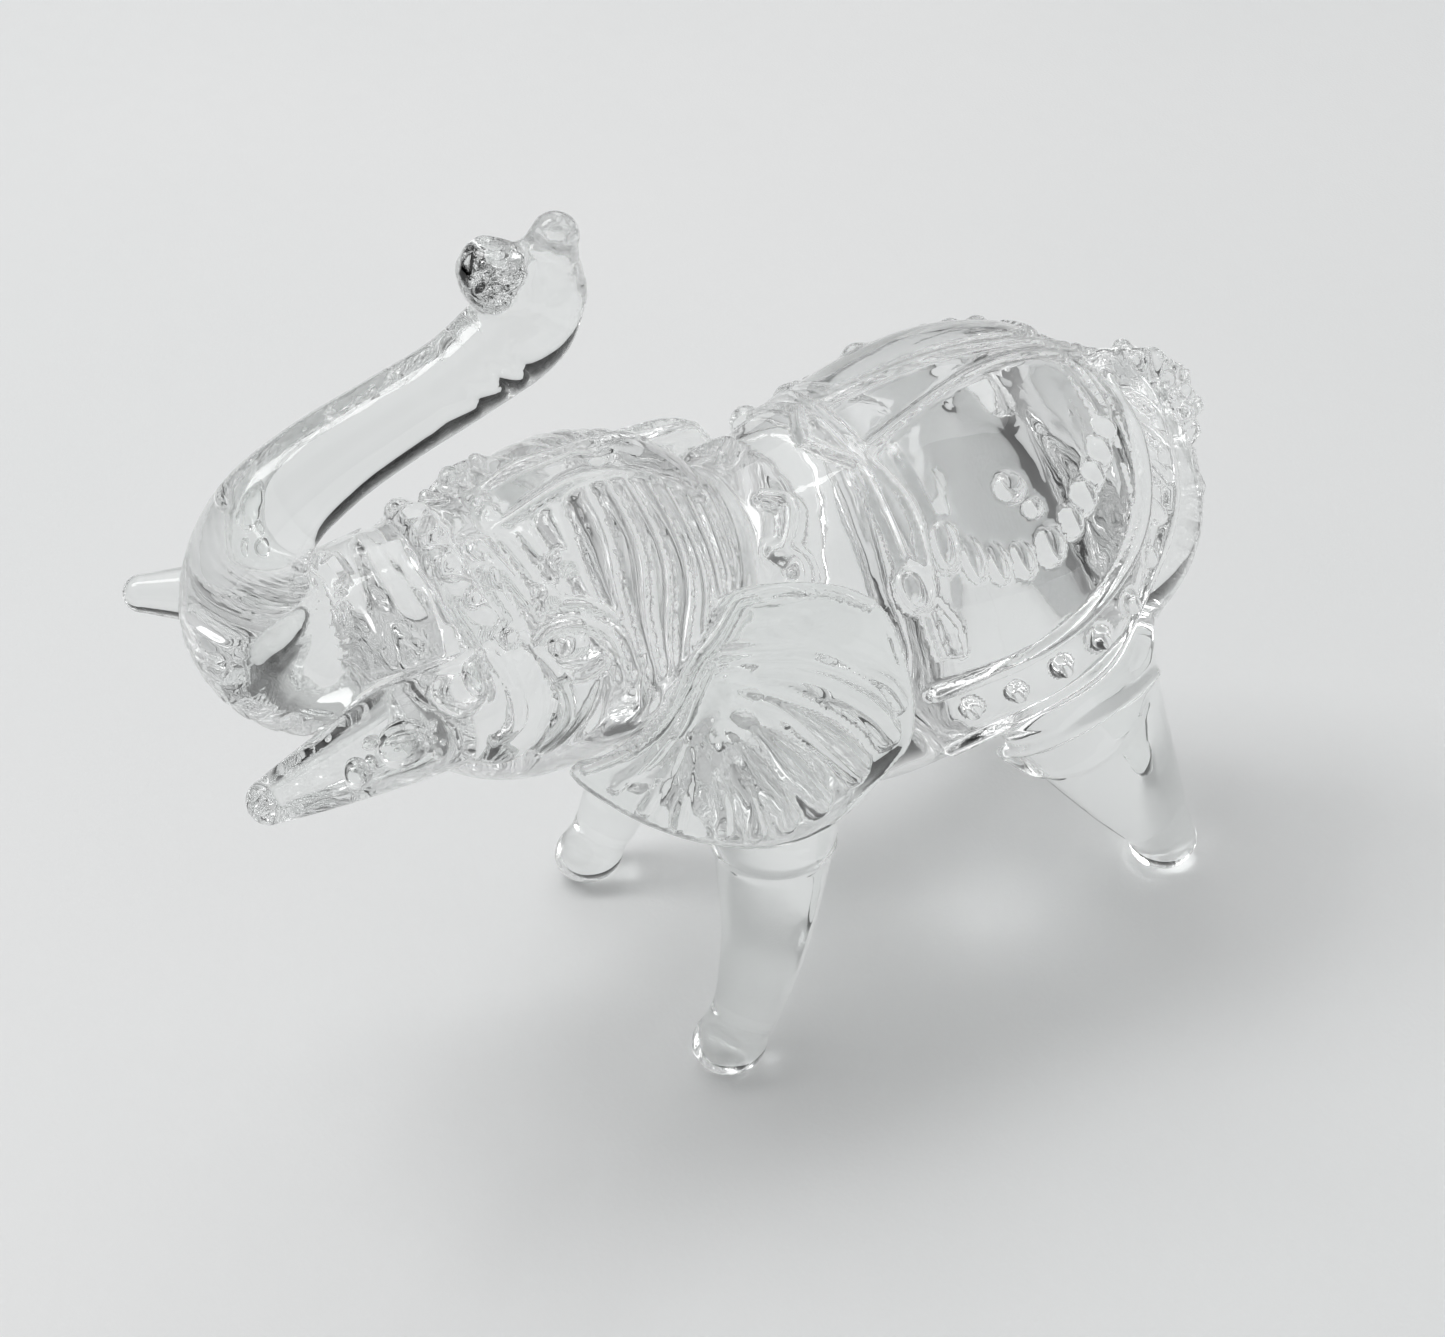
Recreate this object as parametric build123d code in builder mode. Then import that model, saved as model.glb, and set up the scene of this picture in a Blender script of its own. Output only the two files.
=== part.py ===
"""Crystal glass figurine: a standing elephant, trunk raised, with a saddle cloth and a band round its rump.

Every piece is solid clear glass. The pieces meet face to face where the hot glass was fused.
+Z is up, the elephant faces -Y and its left side is +X. The origin is on the ground, under the middle
of the figurine's length and width. All lengths are in millimetres.
"""
import math
import os

from build123d import *

os.makedirs("parts", exist_ok=True)

# ---- Driving dimensions -------------------------------------------------------------------------
NECK_Y, NECK_Z, NECK_HALF_WIDTH, NECK_HALF_HEIGHT = -5.7, 39.4, 11.4, 12.8
TRUNK_ROOT_Y, TRUNK_ROOT_Z, TRUNK_ROOT_RADIUS = -26.7, 45.1, 7.1
# y, centre height, half width, half height
TORSO_STATIONS = [
    (NECK_Y, NECK_Z, NECK_HALF_WIDTH, NECK_HALF_HEIGHT),
    (2.3, 35.6, 13.3, 14.7),
    (11.3, 35.1, 15.0, 16.1),
    (19.3, 35.8, 15.9, 16.0),
    (26.3, 35.4, 14.9, 14.9),
    (32.3, 34.8, 12.5, 12.7),
    (37.0, 34.4, 9.4, 9.6),
    (40.2, 34.2, 5.6, 5.8),
    (41.6, 34.1, 1.6, 1.7),
]
HEAD_STATIONS = [
    (NECK_Y, NECK_Z, NECK_HALF_WIDTH, NECK_HALF_HEIGHT),
    (-9.7, 41.8, 12.0, 12.1),
    (-14.7, 42.4, 12.3, 11.7),
    (-19.7, 42.4, 11.2, 10.9),
    (-23.7, 43.4, 9.2, 9.0),
    (TRUNK_ROOT_Y, TRUNK_ROOT_Z, TRUNK_ROOT_RADIUS, TRUNK_ROOT_RADIUS),
]
JAW_CENTRE, JAW_RADII = (0, -19.4, 35.6), (8.2, 9.2, 6.0)

# trunk: a short root, a quarter-turn bend and a rod that rises back over the head
BEND_CENTRE_Y, BEND_CENTRE_Z, BEND_ARC_RADIUS = -31.5, 51.6, 6.5
BEND_RADII = [6.2, 6.0, 5.7, 5.2, 4.7]
# y, z, radius along the raised rod; the last few are its tip
ROD_STATIONS = [
    (-37.9, 53.8, 4.2),
    (-35.9, 57.3, 3.6),
    (-31.9, 59.9, 3.3),
    (-26.7, 61.8, 3.1),
    (-21.5, 63.6, 3.1),
    (-18.2, 65.2, 3.4),
    (-16.5, 67.2, 3.6),
    (-15.8, 69.4, 3.3),
]
TIP_START = 5
NOSTRIL_CENTRE, NOSTRIL_RADIUS = (0, -18.7, 70.6), 2.4
FINGER_CENTRE, FINGER_RADII, FINGER_TILT = (0, -14.1, 71.4), (2.0, 1.8, 2.6), -20

# left tusk: x, y, z, radius
TUSK_STATIONS = [
    (6.6, -25.0, 42.0, 4.2),
    (8.4, -30.7, 43.0, 3.5),
    (10.8, -37.4, 44.2, 2.4),
    (12.4, -42.1, 45.0, 1.4),
]
TUSK_BALL_RADIUS = 1.6
SOCKET_CENTRE, SOCKET_RADIUS = (7.6, -24.2, 41.4), 4.7

# left legs, from the ankle up: x, y, z, radius
ANKLE_Z = 4.4
FRONT_LEG = [
    (12.4, -6.6, ANKLE_Z, 2.6),
    (12.1, -5.7, 7.5, 3.0),
    (11.3, -4.0, 13.0, 3.8),
    (10.2, -2.9, 22.0, 5.0),
    (8.2, -2.0, 30.0, 4.6),
]
REAR_LEG = [
    (11.2, 36.3, ANKLE_Z, 2.9),
    (10.9, 34.9, 7.0, 3.4),
    (10.4, 32.1, 12.0, 4.8),
    (9.3, 27.9, 20.0, 6.5),
    (7.8, 25.6, 28.0, 7.0),
]
FOOT_RADII, FOOT_CENTRE_Z = (2.9, 3.3, 2.9), 2.45
FRONT_FOOT = (12.5, -8.1)
REAR_FOOT = (11.3, 36.8)

# left ear: a plate that leans out towards its lower rim
EAR_ORIGIN = (12.9, -11.7, 43.0)
EAR_LEAN = 17.6
EAR_THICKNESS = 2.8
# y, height up the plate, from the ear's origin
EAR_OUTLINE = [
    (1.0, 7.6),
    (9.5, 7.4),
    (15.6, 3.0),
    (18.6, -3.6),
    (18.2, -10.2),
    (14.2, -15.2),
    (8.8, -17.6),
    (2.3, -16.8),
    (-3.0, -13.6),
    (-6.0, -10.4),
]
EAR_FLUTES = 8
FLUTE_FIRST, FLUTE_LAST = -112, -8
FLUTE_START, FLUTE_END, FLUTE_RADIUS = 6.0, 21.0, 0.9

EYE_CENTRE, EYE_RADIUS = (10.0, -19.0, 47.0), 1.8
BROW_BOSS_RADIUS = 1.5
BROW_BOSSES = [(2.6, -21.6, 52.3), (5.6, -20.2, 51.4)]

# trim on the torso, as side views: (y, z) outlines and routes
SADDLE_RISE, STRAP_RISE, CORD_RISE = 0.5, 1.3, 1.0
SADDLE_OUTLINE = [
    (1.6, 60.0),
    (4.0, 50.4),
    (6.8, 46.0),
    (10.2, 44.2),
    (14.8, 42.6),
    (19.6, 43.8),
    (23.6, 46.6),
    (27.0, 49.6),
    (31.0, 60.0),
]
STRAP_ROUTE, STRAP_WIDTH = [(1.6, 60.0), (4.0, 50.0), (6.6, 45.0)], 2.6
INNER_CORD = [(33.0, 54.0), (31.1, 48.1), (28.3, 43.4), (25.6, 41.0), (15.9, 35.2), (4.0, 31.6)]
OUTER_CORD = [(37.6, 50.0), (35.2, 42.7), (32.0, 38.2), (28.6, 33.1), (18.3, 27.0), (7.0, 23.2)]
CORD_WIDTH = 1.5
CUTTER_REACH = 30  # how far a side-view cutter goes to each side, past the body

# y, z and half length of each drop in the fringe
FRINGE_DROPS = [
    (9.8, 44.6, 1.7),
    (12.0, 43.4, 1.9),
    (14.5, 42.6, 2.0),
    (17.1, 42.9, 1.9),
    (19.6, 44.0, 1.7),
    (21.8, 45.5, 1.5),
    (23.8, 47.0, 1.4),
    (25.6, 48.4, 1.2),
]
FRINGE_DROP_RADIUS = 1.0
TASSEL_YZ, TASSEL_RADII = (7.2, 43.0), (1.5, 1.5, 2.2)
STUD_YZ, STUD_RADIUS = (16.6, 47.6), 1.7
# y, z and radius of the beads between the two cords
BAND_BEADS = [
    (32.4, 44.6, 0.9),
    (29.9, 40.6, 1.1),
    (27.0, 37.4, 0.9),
    (22.6, 34.2, 1.2),
    (17.6, 31.2, 0.9),
    (12.4, 29.0, 1.2),
]

TAIL_STATIONS = [
    (34.6, 45.0, 1.9),
    (38.6, 44.6, 1.4),
    (41.4, 42.0, 1.1),
    (42.0, 39.6, 1.0),
]
TUFT_CENTRE, TUFT_RADII = (0, 41.8, 37.6), (2.1, 1.9, 2.9)
TUFT_DROPS = [(0.9, 42.9, 35.0, 0.9), (-0.8, 42.6, 35.6, 0.8), (0.2, 41.4, 34.4, 0.8)]


# ---- Shared shapes ------------------------------------------------------------------------------
def save(piece, name):
    """Label a finished piece and write it as one STEP file."""
    piece.part.label = name
    export_step(piece.part, f"parts/{name}.step")


def save_pair(left_piece, name):
    """Write a piece of the elephant's left side and its mirror image on the right, and return both."""
    save(left_piece, f"{name}_left")
    with BuildPart() as right_piece:
        mirror(left_piece.part, about=Plane.YZ)
    save(right_piece, f"{name}_right")
    return left_piece, right_piece


def body_loft(stations, grow=0.0):
    """A loft through upright elliptical sections, each grown by the same amount."""
    with BuildPart() as form:
        for y, z, half_width, half_height in stations:
            with BuildSketch(Plane.XZ.offset(-y)):
                with Locations((0, z)):
                    Ellipse(half_width + grow, half_height + grow)
        loft()
    return form.part


def drop(centre, radii, tilt=0):
    """An ellipsoid of glass, turned about the X axis by a tilt in degrees."""
    with BuildPart() as form:
        Sphere(1)
        scale(by=radii)
    return Pos(*centre) * Rot(tilt, 0, 0) * form.part


def route_planes(points):
    """A plane at each point of a route, square to the line through the point's neighbours."""
    planes = []
    for index, point in enumerate(points):
        before = points[max(index - 1, 0)]
        after = points[min(index + 1, len(points) - 1)]
        planes.append(Plane(origin=point, x_dir=(1, 0, 0), z_dir=after - before))
    return planes


def rod(stations):
    """A loft through round sections (x, y, z, radius), each square to the route through their centres."""
    planes = route_planes([Vector(*station[:3]) for station in stations])
    with BuildPart() as form:
        for plane, station in zip(planes, stations):
            with BuildSketch(plane):
                Circle(station[3])
        loft()
    return form.part


def side_prism(outline):
    """A solid right through the body, with a smooth side-view outline of (y, z) points."""
    with BuildPart() as form:
        with BuildSketch(Plane.YZ):
            with BuildLine():
                Spline(*outline)
                Line(outline[-1], outline[0])
            make_face()
        extrude(amount=CUTTER_REACH, both=True)
    return form.part


def side_strip(route, width):
    """A solid right through the body, whose side view is a strip of constant width along a route."""
    with BuildPart() as form:
        with BuildSketch(Plane.YZ):
            with BuildLine():
                Spline(*route)
            trace(line_width=width)
        extrude(amount=CUTTER_REACH, both=True)
    return form.part


def flank_pair(y, z):
    """The left and right points on the torso's surface at a side-view point."""
    for near, far in zip(TORSO_STATIONS[:-1], TORSO_STATIONS[1:]):
        if near[0] <= y <= far[0]:
            share = (y - near[0]) / (far[0] - near[0])
            centre, half_width, half_height = (a + share * (b - a) for a, b in zip(near[1:], far[1:]))
            rise = (z - centre) / half_height
            reach = half_width * math.sqrt(1 - rise**2)
            return [(reach, y, z), (-reach, y, z)]
    raise ValueError("the point is off the torso")


def cut_away(*neighbours):
    """Take the neighbours' space out of the piece being made, so that they meet face to face."""
    for neighbour in neighbours:
        add(neighbour.part, mode=Mode.SUBTRACT)


# ---- Body ---------------------------------------------------------------------------------------
with BuildPart() as torso:
    add(body_loft(TORSO_STATIONS))
save(torso, "torso")

with BuildPart() as head:
    add(body_loft(HEAD_STATIONS))
save(head, "head")

# ---- Trunk --------------------------------------------------------------------------------------
bend_planes = []
for index in range(len(BEND_RADII)):
    angle = math.radians(180 - index * 90 / (len(BEND_RADII) - 1))
    heading = Vector(0, math.cos(angle), math.sin(angle))
    outward = Vector(0, -heading.Z, heading.Y)
    centre = Vector(0, BEND_CENTRE_Y, BEND_CENTRE_Z) + outward * BEND_ARC_RADIUS
    bend_planes.append(Plane(origin=centre, x_dir=(1, 0, 0), z_dir=heading))

with BuildPart() as trunk_root:
    with BuildSketch(Plane(origin=(0, TRUNK_ROOT_Y, TRUNK_ROOT_Z), x_dir=(1, 0, 0), z_dir=(0, -1, 0))):
        Circle(TRUNK_ROOT_RADIUS)
    with BuildSketch(bend_planes[0]):
        Circle(BEND_RADII[0])
    loft()
save(trunk_root, "trunk_root")

with BuildPart() as trunk_bend:
    for plane, radius in zip(bend_planes, BEND_RADII):
        with BuildSketch(plane):
            Circle(radius)
    loft()
save(trunk_bend, "trunk_bend")

rod_planes = route_planes([Vector(0, *station[:2]) for station in ROD_STATIONS])

with BuildPart() as trunk_rod:
    with BuildSketch(bend_planes[-1]):
        Circle(BEND_RADII[-1])
    for plane, station in zip(rod_planes[: TIP_START + 1], ROD_STATIONS):
        with BuildSketch(plane):
            Circle(station[2])
    loft()
save(trunk_rod, "trunk_rod")

with BuildPart() as trunk_tip:
    for plane, station in zip(rod_planes[TIP_START:], ROD_STATIONS[TIP_START:]):
        with BuildSketch(plane):
            Circle(station[2])
    loft()
save(trunk_tip, "trunk_tip")

with BuildPart() as nostril_lip:
    with Locations(NOSTRIL_CENTRE):
        Sphere(NOSTRIL_RADIUS)
    cut_away(trunk_rod, trunk_tip)
save(nostril_lip, "nostril_lip")

with BuildPart() as finger_lip:
    add(drop(FINGER_CENTRE, FINGER_RADII, FINGER_TILT))
    cut_away(trunk_tip, nostril_lip)
save(finger_lip, "finger_lip")

# ---- Face ---------------------------------------------------------------------------------------
with BuildPart() as lower_jaw:
    add(drop(JAW_CENTRE, JAW_RADII))
    cut_away(head, torso, trunk_root)
save(lower_jaw, "lower_jaw")

with BuildPart() as tusk:
    add(rod(TUSK_STATIONS))
    with Locations(TUSK_STATIONS[-1][:3]):
        Sphere(TUSK_BALL_RADIUS)
    cut_away(head, lower_jaw, trunk_root, trunk_bend)
save_pair(tusk, "tusk")

with BuildPart() as tusk_socket:
    with Locations(SOCKET_CENTRE):
        Sphere(SOCKET_RADIUS)
    cut_away(head, lower_jaw, trunk_root, tusk)
save_pair(tusk_socket, "tusk_socket")

with BuildPart() as eye:
    with Locations(EYE_CENTRE):
        Sphere(EYE_RADIUS)
    cut_away(head)
save_pair(eye, "eye")

with BuildPart() as brow_bosses:
    for x, y, z in BROW_BOSSES:
        with Locations((x, y, z), (-x, y, z)):
            Sphere(BROW_BOSS_RADIUS)
    cut_away(head)
save(brow_bosses, "brow_bosses")

# ---- Legs and feet ------------------------------------------------------------------------------
legs = {}
for place, stations, (foot_x, foot_y) in (("front", FRONT_LEG, FRONT_FOOT), ("rear", REAR_LEG, REAR_FOOT)):
    with BuildPart() as leg:
        for x, y, z, radius in stations:
            with BuildSketch(Plane.XY.offset(z)):
                with Locations((x, y)):
                    Circle(radius)
        loft()
        cut_away(torso, head)
    legs[place] = save_pair(leg, f"{place}_leg")

    with BuildPart() as foot:
        add(drop((foot_x, foot_y, FOOT_CENTRE_Z), FOOT_RADII))
        split(bisect_by=Plane.XY, keep=Keep.TOP)
        split(bisect_by=Plane.XY.offset(ANKLE_Z), keep=Keep.BOTTOM)
    save_pair(foot, f"{place}_foot")

# ---- Ears ---------------------------------------------------------------------------------------
lean = math.radians(EAR_LEAN)
plate_plane = Plane(origin=EAR_ORIGIN, x_dir=(0, 1, 0), z_dir=(math.cos(lean), 0, math.sin(lean)))
with BuildPart() as ear:
    with BuildSketch(plate_plane):
        with BuildLine():
            Spline(*EAR_OUTLINE, periodic=True)
        make_face()
    extrude(amount=-EAR_THICKNESS)
    cut_away(head, torso, legs["front"][0])
    for index in range(EAR_FLUTES):
        bearing = math.radians(FLUTE_FIRST + index * (FLUTE_LAST - FLUTE_FIRST) / (EAR_FLUTES - 1))
        ray = Vector(math.cos(bearing), math.sin(bearing))
        start = plate_plane.from_local_coords(ray * FLUTE_START)
        end = plate_plane.from_local_coords(ray * FLUTE_END)
        with BuildSketch(Plane(origin=start, z_dir=end - start)):
            Circle(FLUTE_RADIUS)
        extrude(amount=(end - start).length, mode=Mode.SUBTRACT)
ears = save_pair(ear, "ear")

# ---- Tail ---------------------------------------------------------------------------------------
with BuildPart() as tail:
    add(rod([(0, *station) for station in TAIL_STATIONS]))
    cut_away(torso)
save(tail, "tail")

with BuildPart() as tail_tuft:
    add(drop(TUFT_CENTRE, TUFT_RADII))
    for x, y, z, radius in TUFT_DROPS:
        with Locations((x, y, z)):
            Sphere(radius)
    cut_away(torso, tail)
save(tail_tuft, "tail_tuft")

# ---- Saddle cloth and rump band -----------------------------------------------------------------
with BuildPart() as cloth_strap:
    add(body_loft(TORSO_STATIONS, STRAP_RISE))
    add(side_strip(STRAP_ROUTE, STRAP_WIDTH), mode=Mode.INTERSECT)
    cut_away(torso)
save(cloth_strap, "cloth_strap")

rump_cords = {}
for name, route in (("inner", INNER_CORD), ("outer", OUTER_CORD)):
    with BuildPart() as rump_cord:
        add(body_loft(TORSO_STATIONS, CORD_RISE))
        add(side_strip(route, CORD_WIDTH), mode=Mode.INTERSECT)
        cut_away(torso, tail, *ears, *legs["rear"])
    save(rump_cord, f"rump_cord_{name}")
    rump_cords[name] = rump_cord

with BuildPart() as saddle_cloth:
    add(body_loft(TORSO_STATIONS, SADDLE_RISE))
    add(side_prism(SADDLE_OUTLINE), mode=Mode.INTERSECT)
    cut_away(torso, cloth_strap, rump_cords["inner"])
save(saddle_cloth, "saddle_cloth")

with BuildPart() as cloth_fringe:
    for y, z, half_length in FRINGE_DROPS:
        for centre in flank_pair(y, z):
            add(drop(centre, (FRINGE_DROP_RADIUS, FRINGE_DROP_RADIUS, half_length)))
    cut_away(torso, saddle_cloth, cloth_strap)
save(cloth_fringe, "cloth_fringe")

with BuildPart() as strap_tassels:
    for centre in flank_pair(*TASSEL_YZ):
        add(drop(centre, TASSEL_RADII))
    cut_away(torso, cloth_strap, saddle_cloth, cloth_fringe, *ears)
save(strap_tassels, "strap_tassels")

with BuildPart() as cloth_studs:
    with Locations(*flank_pair(*STUD_YZ)):
        Sphere(STUD_RADIUS)
    cut_away(torso, saddle_cloth)
save(cloth_studs, "cloth_studs")

with BuildPart() as band_beads:
    for y, z, radius in BAND_BEADS:
        with Locations(*flank_pair(y, z)):
            Sphere(radius)
    cut_away(torso, *legs["rear"])
save(band_beads, "band_beads")
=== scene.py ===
import math

import bpy
import numpy as np
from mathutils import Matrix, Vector


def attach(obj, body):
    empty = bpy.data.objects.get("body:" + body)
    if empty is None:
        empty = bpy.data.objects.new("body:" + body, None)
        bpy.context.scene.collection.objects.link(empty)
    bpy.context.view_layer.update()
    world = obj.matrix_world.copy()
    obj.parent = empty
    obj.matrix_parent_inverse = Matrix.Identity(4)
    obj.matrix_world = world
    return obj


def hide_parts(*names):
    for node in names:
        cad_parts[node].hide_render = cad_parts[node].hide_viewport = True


# A clear glass elephant with a raised trunk. The whole figurine is sculpted as one distance field, in
# millimetres, meshed once, and then parted into its pieces. Neighbouring pieces share their seam, and
# the faces inside a seam carry a see-through fused-joint material, as fused glass has no inner surface.
# +Z is up, -Y is the way the elephant faces, +X is its left side.

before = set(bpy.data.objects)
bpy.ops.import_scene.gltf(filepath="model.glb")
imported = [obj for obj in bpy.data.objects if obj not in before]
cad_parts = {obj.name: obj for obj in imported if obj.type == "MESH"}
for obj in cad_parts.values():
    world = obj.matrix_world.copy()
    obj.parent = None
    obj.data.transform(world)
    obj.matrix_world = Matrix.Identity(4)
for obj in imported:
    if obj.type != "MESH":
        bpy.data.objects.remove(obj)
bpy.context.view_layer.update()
MM = 0.001
# the mesh's grid step, and the field's value where no shape is near
STEP = 0.36
FAR = 50.0


# ---- Distance fields ----------------------------------------------------------------------------
def soft_min(a, b, blend):
    """The lower of two fields, with a fillet of the given size where they meet."""
    share = np.maximum(blend - np.abs(a - b), 0) / blend
    return np.minimum(a, b) - share**3 * blend / 6


def soft_max(a, b, blend):
    """The higher of two fields, with the same fillet."""
    return -soft_min(-a, -b, blend)


def turn(x=0, y=0, z=0):
    """A rotation matrix: about X, then Y, then Z, in degrees. Its columns are the turned axes."""
    cx, cy, cz = (math.cos(math.radians(angle)) for angle in (x, y, z))
    sx, sy, sz = (math.sin(math.radians(angle)) for angle in (x, y, z))
    about_x = np.array([[1, 0, 0], [0, cx, -sx], [0, sx, cx]])
    about_y = np.array([[cy, 0, sy], [0, 1, 0], [-sy, 0, cy]])
    about_z = np.array([[cz, -sz, 0], [sz, cz, 0], [0, 0, 1]])
    return about_z @ about_y @ about_x


class Egg:
    """An ellipsoid."""

    def __init__(self, centre, radii, axes=None):
        self.centre, self.radii = np.array(centre, float), np.array(radii, float)
        self.axes = np.eye(3) if axes is None else axes
        self.low, self.high = self.centre - max(radii), self.centre + max(radii)

    def __call__(self, points):
        local = (points - self.centre) @ self.axes
        near = np.sqrt(((local / self.radii) ** 2).sum(1))
        slope = np.sqrt(((local / self.radii**2) ** 2).sum(1))
        return near * (near - 1) / np.maximum(slope, 1e-9)


def on_curve(path, t):
    """Place and slope of a smooth curve through the path's points, at each parameter in t."""
    last = len(path) - 1
    index = np.clip(t.astype(int), 0, last - 1)
    s = (t - index)[:, None]
    a, b, c, d = (path[np.clip(index + k, 0, last)] for k in (-1, 0, 1, 2))
    place = 0.5 * (2 * b + (c - a) * s + (2 * a - 5 * b + 4 * c - d) * s**2 + (3 * b - a - 3 * c + d) * s**3)
    slope = 0.5 * ((c - a) + 2 * (2 * a - 5 * b + 4 * c - d) * s + 3 * (3 * b - a - 3 * c + d) * s**2)
    return place, slope


class Tube:
    """A smooth round tube along points (x, y, z, radius), with rounded ends."""

    def __init__(self, path):
        self.path = np.array(path, float)
        reach = self.path[:, 3].max() + 0.5
        self.low, self.high = self.path[:, :3].min(0) - reach, self.path[:, :3].max(0) + reach

    def __call__(self, points):
        last = len(self.path) - 1
        guesses = np.linspace(0, last, 5 * last + 1)
        places, _ = on_curve(self.path, guesses)
        t = np.zeros(len(points))
        best = np.full(len(points), np.inf)
        for guess, place in zip(guesses, places):
            gap = ((points - place[:3]) ** 2).sum(1)
            closer = gap < best
            best[closer] = gap[closer]
            t[closer] = guess
        for _ in range(3):
            place, slope = on_curve(self.path, t)
            way = slope[:, :3]
            run = ((points - place[:, :3]) * way).sum(1) / np.maximum((way**2).sum(1), 1e-6)
            t = np.clip(t + np.clip(run, -0.3, 0.3), 0, last)
        place, _ = on_curve(self.path, t)
        return np.sqrt(((points - place[:, :3]) ** 2).sum(1)) - place[:, 3]


class Clay:
    """A field at many points, built up shape by shape. With keep set, each named part's own field is kept."""

    MARGIN = 1.2  # how far beyond its own size a shape is worked out
    SKIN = 3.2  # how far from the surface relief is added

    def __init__(self, points, keep):
        self.points, self.keep = points, keep
        self.depth = np.full(len(points), FAR)
        self.parts = {}

    def near(self, shape, blend):
        """Which points lie close enough to a shape for it to matter."""
        reach = blend + 4 * STEP + self.MARGIN
        return ((self.points > shape.low - reach) & (self.points < shape.high + reach)).all(1)

    def join(self, part, shape, blend):
        """Add a shape to the clay as part of a named piece."""
        inside = self.near(shape, blend)
        if not inside.any():
            return
        field = shape(self.points[inside])
        self.depth[inside] = soft_min(self.depth[inside], field, blend)
        if self.keep:
            own = self.parts.setdefault(part, np.full(len(self.points), FAR))
            own[inside] = soft_min(own[inside], field, blend)

    def relief(self, part, shapes, blend=0.42):
        """Add small shapes that lie on the surface. Points away from the surface are left alone."""
        self.mark("under " + part, self.depth)
        skin = np.flatnonzero(np.abs(self.depth) < self.SKIN)
        small = Clay(self.points[skin], self.keep)
        small.depth = self.depth[skin]
        for shape in shapes:
            small.join(part, shape, blend)
        self.depth[skin] = small.depth
        if self.keep:
            own = self.parts.setdefault(part, np.full(len(self.points), FAR))
            own[skin] = np.minimum(own[skin], small.parts[part])

    def carve(self, shape, blend):
        """Take a shape away from the clay."""
        inside = self.near(shape, blend)
        if inside.any():
            field = shape(self.points[inside])
            self.depth[inside] = soft_max(self.depth[inside], -field, blend)

    def mark(self, name, values):
        """Keep a table of values for the parting."""
        if self.keep:
            self.parts[name] = values * 1.0


def fade(value, start, end):
    """Rise smoothly from 0 at start to 1 at end."""
    share = np.clip((value - start) / (end - start), 0, 1)
    return share * share * (3 - 2 * share)


def outline_gap(points, outline):
    """Signed distance in a plane to a closed outline, negative inside it."""
    inside = np.zeros(len(points), bool)
    near = np.full(len(points), np.inf)
    for (ax, ay), (bx, by) in zip(outline, np.roll(outline, -1, 0)):
        ex, ey = bx - ax, by - ay
        px, py = points[:, 0] - ax, points[:, 1] - ay
        share = np.clip((px * ex + py * ey) / (ex * ex + ey * ey), 0, 1)
        near = np.minimum(near, (px - share * ex) ** 2 + (py - share * ey) ** 2)
        passes = (ay > points[:, 1]) != (by > points[:, 1])
        inside ^= passes & ((px * ey - py * ex < 0) == (ey > 0))
    return np.where(inside, -1, 1) * np.sqrt(near)


def rounded(corners, steps=3):
    """A closed outline with its corners joined by a smooth curve."""
    path = np.array(corners + corners[:3], float)
    places, _ = on_curve(path, np.arange(steps, steps * (len(corners) + 1)) / steps)
    return places


# ---- The elephant's sizes, in millimetres -------------------------------------------------------
# paths hold x, y, z, radius on the left side or on the middle plane
TORSO = Tube([(0, -5.0, 37.0, 10.2), (0, 2.3, 36.2, 12.3), (0, 11.3, 35.9, 14.8), (0, 19.3, 35.9, 16.0),
              (0, 25.3, 35.6, 15.2), (0, 28.8, 34.9, 12.6)])
BELLY = Egg((0, 10.3, 29.4), (12.6, 17.0, 12.0))
CHEST = Egg((0, -4.7, 32.5), (10.5, 9.0, 9.5))
HEAD = Egg((0, -13.7, 43.1), (11.9, 12.4, 10.9))
JAW = Egg((0, -19.4, 36.6), (8.4, 9.4, 6.3))
TRUNK = Tube([(0, -23.7, 45.5, 7.3), (0, -29.6, 45.2, 6.9), (0, -35.1, 46.1, 5.9), (0, -37.8, 49.6, 4.8),
              (0, -37.7, 53.8, 4.1), (0, -35.7, 57.4, 3.6), (0, -31.7, 59.9, 3.3), (0, -26.7, 61.8, 3.1),
              (0, -21.5, 63.6, 3.1), (0, -17.2, 66.0, 3.5), (0, -15.8, 68.4, 3.4)])
NOSTRIL = Egg((0, -18.8, 70.4), (2.6, 2.3, 2.5))
NOSTRIL_PIT = Egg((0, -18.3, 72.4), (0.9, 0.9, 1.7))
FINGER = Tube([(0, -15.4, 69.0, 2.2), (0, -14.2, 71.9, 1.6)])
TUSK = Tube([(6.6, -25.0, 42.2, 4.1), (8.4, -30.7, 43.0, 3.5), (10.8, -37.4, 44.2, 2.4),
             (12.4, -42.1, 45.0, 1.5)])
SOCKET = Egg((8.2, -24.0, 42.6), (3.6, 4.0, 4.9), turn(x=-25))
SOCKET_HOLLOW = Egg((9.4, -27.3, 46.1), (1.7, 1.9, 2.0))
SOCKET_FOLD = Tube([(8.6, -24.6, 47.2, 0.5), (10.6, -24.0, 45.6, 0.6), (11.6, -24.3, 43.6, 0.7),
                    (11.3, -25.6, 42.4, 0.5)])
SOCKET_RING = Tube([(8.4, -22.0, 47.6, 0.45), (10.8, -20.7, 45.2, 0.55), (11.6, -20.6, 42.3, 0.6),
                    (10.6, -22.3, 39.4, 0.5)])
FRONT_LEG = Tube([(9.2, -2.2, 28, 5.6), (10.2, -2.9, 22, 4.9), (11.3, -4.0, 13, 3.7), (12.2, -5.9, 7, 2.9),
                  (12.4, -7.3, 4.2, 2.5)])
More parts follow.
